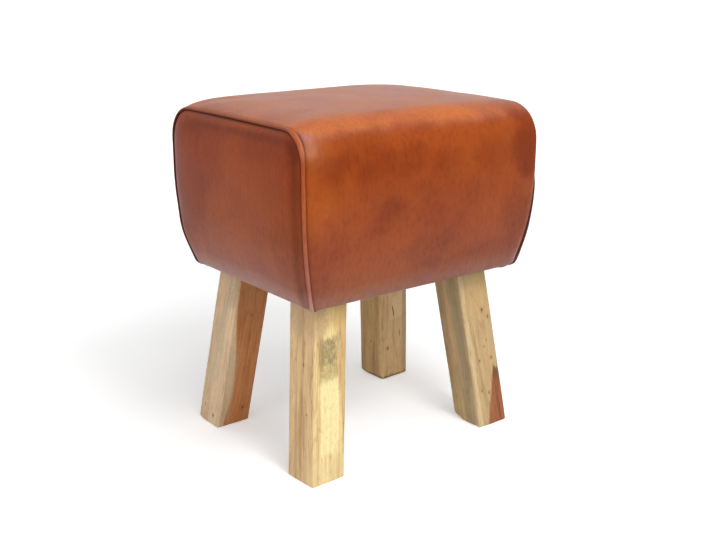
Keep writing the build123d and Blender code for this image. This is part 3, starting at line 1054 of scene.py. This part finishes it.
# side: (a, b, c, d) of the plane ax + by + cz + d = 0 between the pale wood and the heartwood
# tip: the heartwood's tone at its upper end, and the heights between which it takes over
# bands run up a face: (axis across, from, to, blur, tone, share); stains: (middle, half size, tone, share)
# knots: (middle, size); cracks: (middle, half width, reach, slant)
woodLooks = {
    "leg_front_left": {
        "pale": (0.9, 0.75, 0.35), "heart": (0.78, 0.545, 0.28), "side": (0, 1, 0, 0.0245), "blur": 0.001,
        "seed": 2.0, "streaks": 0.8,
        "bands": [
            (0, -0.03, -0.0135, 0.0025, (0.74, 0.5, 0.24), 0.5),
            (0, 0.0155, 0.03, 0.0015, (0.8, 0.55, 0.27), 0.6),
            (0, 0.0152, 0.0162, 0.0005, (0.5, 0.3, 0.13), 0.6),
            (0, -0.0172, -0.0164, 0.0005, (0.5, 0.3, 0.14), 0.4),
        ],
        "stains": [
            ((0.0, -0.025, 0.082), (0.015, 0.02, 0.049), (0.95, 0.81, 0.42), 0.75),
            ((-0.001, -0.025, 0.154), (0.016, 0.02, 0.027), (0.36, 0.25, 0.1), 0.75),
            ((-0.003, -0.025, 0.163), (0.012, 0.02, 0.016), (0.22, 0.16, 0.075), 0.6),
            ((0.0, -0.025, 0.222), (0.03, 0.02, 0.036), (0.74, 0.47, 0.17), 0.8),
            ((0.0, -0.025, 0.012), (0.03, 0.02, 0.018), (0.74, 0.56, 0.3), 0.5),
            ((-0.025, -0.004, 0.215), (0.02, 0.03, 0.035), (0.48, 0.33, 0.2), 0.6),
            ((-0.025, 0.006, 0.045), (0.02, 0.008, 0.05), (0.5, 0.32, 0.16), 0.5),
        ],
        "knots": [((-0.025, -0.004, 0.1456), 0.001), ((-0.025, -0.011, 0.086), 0.0006)],
    },
    "leg_front_right": {
        "pale": (0.545, 0.39, 0.187), "heart": (0.34, 0.115, 0.036),
        "side": (1, 0, -0.262, 0.0075), "blur": 0.0022,
        "ends": 0.05, "tip": ((0.18, 0.075, 0.018), 0.052, 0.078), "seed": 7.4, "streaks": 0.65,
        "bands": [
            (0, -0.03, -0.0165, 0.002, (0.76, 0.6, 0.37), 0.5),
            (1, 0.008, 0.03, 0.004, (0.46, 0.3, 0.15), 0.6),
            (1, -0.018, -0.004, 0.005, (0.33, 0.26, 0.15), 0.6),
            (0, 0.003, 0.012, 0.003, (0.66, 0.42, 0.19), 0.4),
        ],
        "stains": [
            ((0.003, -0.025, 0.205), (0.024, 0.02, 0.055), (0.56, 0.36, 0.15), 0.65),
            ((-0.025, -0.012, 0.125), (0.02, 0.007, 0.055), (0.4, 0.28, 0.15), 0.45),
            ((-0.025, 0.006, 0.15), (0.02, 0.004, 0.07), (0.7, 0.42, 0.2), 0.6),
            ((0.015, -0.025, 0.12), (0.009, 0.02, 0.024), (0.5, 0.36, 0.19), 0.6),
        ],
        "knots": [
            ((0.0095, -0.025, 0.163), 0.0014), ((0.018, -0.025, 0.152), 0.0011),
            ((0.004, -0.025, 0.112), 0.0007),
            ((0.01, -0.025, 0.12), 0.0006), ((0.0143, -0.025, 0.094), 0.001),
            ((-0.008, -0.025, 0.094), 0.0009),
            ((-0.0115, -0.025, 0.051), 0.0008), ((0.001, -0.025, 0.046), 0.001),
        ],
    },
    "leg_back_left": {
        "pale": (0.79, 0.575, 0.36), "heart": (0.575, 0.225, 0.064), "side": (1, 0, 0, 0.0228), "blur": 0.0012,
        "strip": 0.0125, "seed": 11.9, "streaks": 0.45,
        "bands": [
            (1, 0.004, 0.03, 0.01, (0.6, 0.42, 0.26), 0.45),
            (0, 0.006, 0.013, 0.003, (0.36, 0.12, 0.04), 0.4),
        ],
        "stains": [
            ((-0.025, -0.012, 0.205), (0.02, 0.012, 0.034), (0.36, 0.27, 0.16), 0.6),
            ((-0.025, -0.002, 0.15), (0.02, 0.006, 0.05), (0.42, 0.32, 0.2), 0.5),
            ((-0.025, 0.006, 0.11), (0.02, 0.016, 0.05), (0.5, 0.38, 0.25), 0.4),
            ((-0.016, -0.025, 0.06), (0.009, 0.02, 0.06), (0.5, 0.36, 0.21), 0.5),
        ],
        "knots": [
            ((-0.025, -0.009, 0.014), 0.0012), ((0.0115, -0.025, 0.022), 0.0013),
            ((0.003, -0.025, 0.16), 0.001),
            ((-0.025, 0.014, 0.024), 0.0006),
        ],
    },
    "leg_back_right": {
        "pale": (0.77, 0.525, 0.25), "heart": (0.58, 0.37, 0.145), "side": (0, 1, 0, 0.019), "blur": 0.003,
        "seed": 17.3, "streaks": 0.5,
        "bands": [
            (0, 0.014, 0.03, 0.004, (0.42, 0.29, 0.14), 0.55),
            (1, 0.012, 0.03, 0.003, (0.4, 0.27, 0.13), 0.4),
        ],
        "stains": [
            ((-0.006, -0.025, 0.085), (0.016, 0.02, 0.025), (0.62, 0.37, 0.2), 0.5),
            ((0.004, -0.025, 0.12), (0.012, 0.02, 0.02), (0.86, 0.62, 0.36), 0.5),
            # this one darkens the foot's rounded bottom edge
            ((0.0, 0.0, -0.002), (0.06, 0.06, 0.007), (0.12, 0.07, 0.035), 0.85),
        ],
        "knots": [((-0.014, -0.025, 0.052), 0.0013), ((-0.025, 0.0, 0.06), 0.0007)],
        "cracks": [
            ((-0.0026, -0.025, 0.113), 0.0009, 0.01, 0.16),
            ((0.01, -0.025, 0.074), 0.0006, 0.006, 0.05),
        ],
    },
}


def makeWood(name, look):
    startNodes(bpy.data.materials.new(name))
    place = attributeOf("grain")["Vector"]
    shift = (look["seed"], look["seed"] * 0.7, look["seed"] * 1.3)

    def patternOf(scale, *shape):
        return noiseOf(stretched(place, scale, shift), 1, *shape)

    broad = patternOf((30, 30, 3.5), 3, 0.5, 0.5)
    figure = patternOf((95, 95, 5.5), 5, 0.6, 0.9)
    fibre = patternOf((560, 560, 20), 3, 0.6)
    pore = patternOf((1100, 1100, 85), 2, 0.5)
    cloudy = patternOf((60, 60, 30), 4, 0.6)
    ragged = patternOf((150, 150, 22), 4, 0.6)
    speckle = noiseOf(stretched(place, (420, 420, 230)), 1, 4, 0.7)
    axes = splitPlace(place)
    x, y, z = axes
    a, b, c, d = look["side"]
    side = reckon("MULTIPLY_ADD", x, a, reckon("MULTIPLY_ADD", z, c, d))
    side = reckon("MULTIPLY_ADD", y, b, side)
    if "strip" in look:  # a strip of sapwood that widens towards the foot and narrows again
        widen = reckon("SUBTRACT", between(z, 0.19, 0.06), between(z, 0.05, 0.0, 0.0, 0.55))
        side = reckon("MULTIPLY_ADD", widen, -look["strip"], side)
    heart = between(uneven(side, broad, 0.006), -look["blur"], look["blur"])
    if "ends" in look:  # the heartwood runs out part of the way up
        tip = reckon("ADD", uneven(z, ragged, 0.04), y)
        heart = reckon("MULTIPLY", heart, between(tip, look["ends"] + 0.003, look["ends"] - 0.003))
    tone = look["heart"]
    if "tip" in look:  # the heartwood's pointed upper end is darker
        tone = mixed(between(z, *look["tip"][1:]), tone, look["tip"][0])
    colour = mixed(heart, look["pale"], tone)
    for axis, low, high, blur, tone, share in look["bands"]:
        across = uneven(axes[axis], broad, 0.007)
        edges = between(across, low - blur, low + blur), between(across, high + blur, high - blur)
        inside = reckon("MULTIPLY", *edges)
        inside = reckon("MULTIPLY", inside, between(axes[1 - axis], -0.0215, -0.0235, 0.0, share))
        if axis == 0:  # only on the pale wood
            inside = reckon("MULTIPLY", inside, reckon("SUBTRACT", 1.0, heart))
        colour = mixed(inside, colour, tone)
    colour = tinted(colour, figure, 0.48, 0.7, look["streaks"], (0.62, 0.47, 0.33))
    rings = reckon("PINGPONG", reckon("MULTIPLY", broad, 8.0), 0.5)
    colour = tinted(colour, rings, 0.36, 0.5, 0.35, (0.6, 0.44, 0.3))
    colour = tinted(colour, cloudy, 0.4, 0.7, 0.35, (0.8, 0.7, 0.6))
    veins = patternOf((210, 210, 7), 4, 0.6, 0.4)
    strength = reckon("MULTIPLY_ADD", heart, look["streaks"] * 0.7, look["streaks"] * 0.3)
    vein = reckon("MULTIPLY", between(veins, 0.52, 0.66), strength)
    colour = mixed(vein, colour, (0.66, 0.5, 0.38), "MULTIPLY")
    colour = tinted(colour, veins, 0.46, 0.32, 0.5, (1.1, 1.12, 1.12))
    colour = tinted(colour, fibre, 0.35, 0.7, 0.5, (0.78, 0.7, 0.6))
    colour = tinted(colour, pore, 0.6, 0.69, 0.55, (0.45, 0.33, 0.24))
    for middle, spread, tone, share in look["stains"]:
        far = uneven(longestOf(offsetFrom(place, middle, spread)), ragged, 1.1)
        patchy = between(far, 1.15, 0.75, 0.0, share)
        patchy = reckon("MULTIPLY", patchy, between(speckle, 0.62, 0.42, 0.45, 1.0))
        colour = mixed(patchy, colour, tone)
    for middle, size in look["knots"]:
        far = uneven(lengthOf(offsetFrom(place, middle, (size, size, size * 1.5))), fibre, 0.8)
        colour = mixed(between(far, 3.4, 1.0, 0.0, 0.5), colour, (0.26, 0.12, 0.05))
        colour = mixed(between(far, 1.0, 0.6), colour, (0.035, 0.02, 0.014))
    for middle, half, reach, slant in look.get("cracks", []):
        shifted = reckon("MULTIPLY_ADD", reckon("SUBTRACT", z, middle[2]), slant, x)
        there = addNode("CombineXYZ", {0: shifted, 1: y, 2: z}).outputs[0]
        far = lengthOf(offsetFrom(there, middle, (half, 0.006, reach)))
        colour = mixed(between(far, 1.25, 0.7), colour, (0.045, 0.022, 0.012))
    bumps = reckon("MULTIPLY_ADD", pore, -0.6, fibre)
    return finishMaterial(colour, between(figure, 0.3, 0.7, 0.55, 0.72), bumps, 0.0003, 0.4)


def makeSpeckled(name, first, second, scale, roughness, metallic=0.0, bumpDepth=0.0002):
    startNodes(bpy.data.materials.new(name))
    place = objectPlace()
    grain = noiseOf(place, scale, 5, 0.6)
    colour = mixed(between(grain, 0.35, 0.65), first, second)
    return finishMaterial(colour, roughness, grain, bumpDepth, 0.4, Metallic=metallic)


def paint(material, *pieces):
    for piece in pieces:
        piece.data.materials.clear()
        piece.data.materials.append(material)


paint(makeHide("burnishedLeatherEnds", "end"), *endPanels.values())
# the piping is painted lighter than the end panels, partly its own tone and partly a painted highlight
paint(makeHide("pipingLeather", "end", 1.15, "bead"), *beads.values())
paint(makeHide("burnishedLeather", "wrap"), leatherWrap)
for node, piece in legs.items():
    paint(makeWood(node + "Wood", woodLooks[node]), piece)
paint(makeSpeckled("blackCloth", (0.012, 0.012, 0.013), (0.035, 0.034, 0.034), 700, 0.9), dustCloth)

innerFinishes = {
    "frame_plywood": makeSpeckled("boardWood", (0.6, 0.44, 0.26), (0.48, 0.33, 0.18), 40, 0.7),
    "foam": makeSpeckled("paddingFoam", (0.8, 0.74, 0.52), (0.7, 0.63, 0.42), 300, 0.95, bumpDepth=0.0006),
    "cord": makeSpeckled("cottonCord", (0.72, 0.68, 0.58), (0.55, 0.5, 0.4), 500, 0.9),
    "zinc_steel": makeSpeckled("zincSteel", (0.62, 0.62, 0.6), (0.45, 0.45, 0.44), 200, 0.35, 1.0),
}
paint(innerFinishes["foam"], *pads.values())
paint(innerFinishes["cord"], *cords.values())
for row in frame["record"]["subparts"]:
    if row["material_slot"] in innerFinishes:
        cadPiece = frame["nodes"][row["node"]]
        for slotIndex in range(len(cadPiece.material_slots)):
            cadPiece.material_slots[slotIndex].material = innerFinishes[row["material_slot"]]
print("materials set")


# camera at the photograph's viewing angle, pale floor and soft studio light

photoView = {
    "place": (-0.83524, -1.0944, 0.6204),
    "forward": (0.58556, 0.76018, -0.28152),
    "lens": 53.4,
    "sensor": 36.0,
}
studio = {
    "ambient": 0.36,
    "lights": {
        "keySoftbox": ((-0.5, -2.3, 2.0), 1.6, 30),
        "leftSoftbox": ((-2.6, -0.5, 1.3), 1.6, 13),
        "topSoftbox": ((0.35, -0.75, 1.85), 1.1, 11),
        "cornerSoftbox": ((-0.05, -1.3, 1.95), 0.45, 10),
        "backSoftbox": ((-1.2, 2.5, 1.5), 1.6, 12),
    },
    "aim": (0, 0, 0.28),
    "floorColour": (0.86, 0.86, 0.86, 1),
    "floorSize": 60,
    # away from the stool the seen floor glows, between these two distances and strengths
    "glowReach": (0.5, 2.2),
    "floorGlow": (0.34, 0.85),
}


def setUp(name, data, place, forward):
    holder = bpy.data.objects.new(name, data)
    sceneRoot.collection.objects.link(holder)
    holder.location = place
    holder.rotation_euler = Vector(forward).to_track_quat("-Z", "Y").to_euler()
    return holder


def makeCamera():
    cameraData = bpy.data.cameras.new("photoCamera")
    cameraData.lens = photoView["lens"]
    cameraData.sensor_width = photoView["sensor"]
    sceneRoot.camera = setUp("photoCamera", cameraData, photoView["place"], photoView["forward"])


def makeLights():
    for name, (place, size, power) in studio["lights"].items():
        lamp = bpy.data.lights.new(name, "AREA")
        lamp.size = size
        lamp.energy = power
        setUp(name, lamp, place, Vector(studio["aim"]) - Vector(place))


# 1 for the rays that see the background: from the camera, in gloss and through glass
def seenRays():
    rays = addNode("LightPath").outputs
    total = rays["Is Camera Ray"]
    for other in ("Is Glossy Ray", "Is Transmission Ray"):
        total = reckon("ADD", total, rays[other], useClamp=True)
    return total


def makeWorld():
    sceneRoot.world = bpy.data.worlds.new("studioWorld")
    startNodes(sceneRoot.world)
    strength = between(seenRays(), 0.0, 1.0, studio["ambient"])
    background = addNode("Background", {"Color": (1, 1, 1, 1), "Strength": strength})
    addNode("OutputWorld", {"Surface": background.outputs[0]})


def makeFloor():
    deselectAll()
    bpy.ops.mesh.primitive_plane_add(size=studio["floorSize"])
    floor = namedResult("studioFloor")
    startNodes(bpy.data.materials.new("paleFloor"))
    matte = addNode("BsdfDiffuse", {"Color": studio["floorColour"]}).outputs[0]
    brightness = between(lengthOf(objectPlace()), *studio["glowReach"], *studio["floorGlow"])
    glow = addNode("Emission", {"Strength": brightness}).outputs[0]
    both = addNode("AddShader", {0: matte, 1: glow}).outputs[0]
    chosen = addNode("MixShader", {0: seenRays(), 1: matte, 2: both}).outputs[0]
    addNode("OutputMaterial", {"Surface": chosen})
    paint(bench["owner"], floor)


makeCamera()
makeLights()
makeWorld()
makeFloor()
sceneRoot.view_settings.view_transform = "Standard"
print("studio set")

for piece in [leatherWrap, *endPanels.values()]:
    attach(piece, "root")
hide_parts("wrap_panel")
for node, piece in endPanels.items():
    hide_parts(node)
for slot, pieces in (("piping_leather", beads), ("cord", cords), ("mango_wood", legs), ("foam", pads)):
    for node, piece in pieces.items():
        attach(piece, "root")
        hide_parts(node)
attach(dustCloth, "root")
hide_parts("dust_cover")
